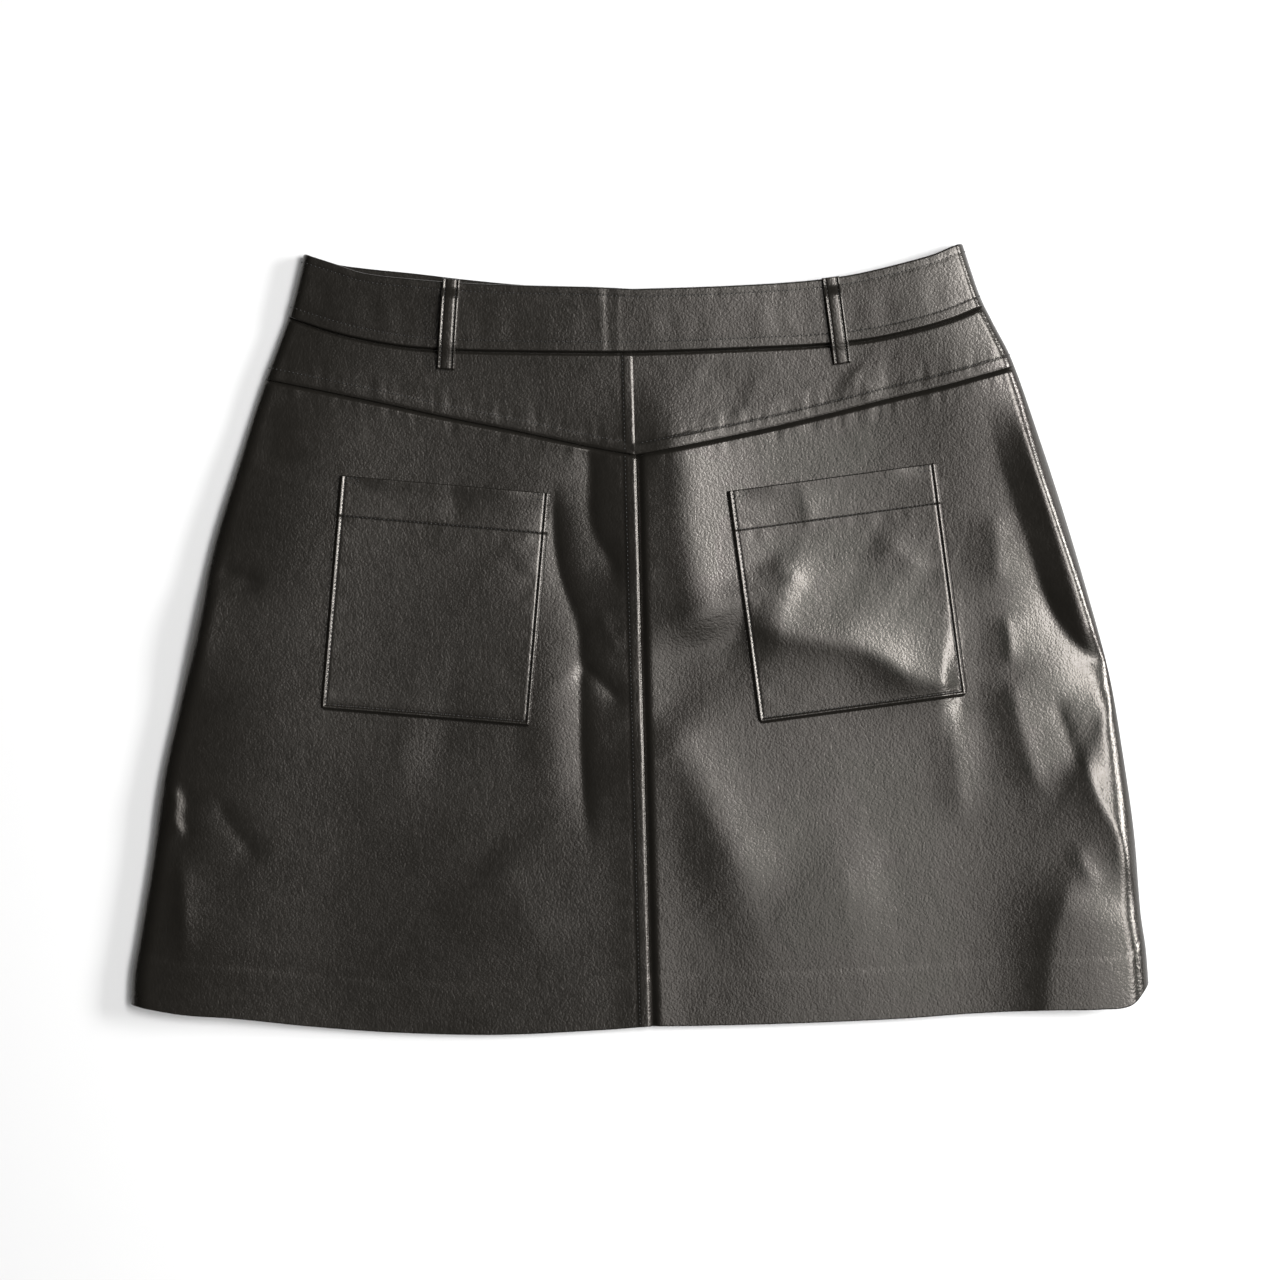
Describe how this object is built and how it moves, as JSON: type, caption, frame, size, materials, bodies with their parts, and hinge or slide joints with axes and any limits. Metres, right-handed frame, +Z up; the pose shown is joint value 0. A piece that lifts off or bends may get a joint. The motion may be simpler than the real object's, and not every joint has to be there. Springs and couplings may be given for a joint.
{
  "type": "leather mini skirt",
  "caption": "Flared black leather mini skirt lying flat on its front, with a pointed back yoke, patch pockets and belt loops.",
  "frame": {"origin": "middle of the skirt's footprint, on the surface it lies on", "axes": "+X across the skirt to the right of the picture, +Y from hem to waist, +Z up out of the surface"},
  "size_m": [0.5708, 0.4401, 0.0157],
  "materials": {
    "leather": "semi-gloss, fine pebble grain, black",
    "thread": "black sewing thread",
    "zip_tape": "woven black zip tape"
  },
  "bodies": {
    "root": {"back_panel_left": "leather", "back_panel_right": "leather", "back_yoke_left": "leather", "back_yoke_right": "leather", "back_waistband": "leather", "pocket_left": "leather", "pocket_right": "leather", "belt_loop_left": "leather", "belt_loop_right": "leather", "front_panel_left": "leather", "front_panel_right": "leather", "front_waistband_left": "leather", "front_waistband_right": "leather", "fly_zip": "zip_tape"}
  },
  "joints": []
}
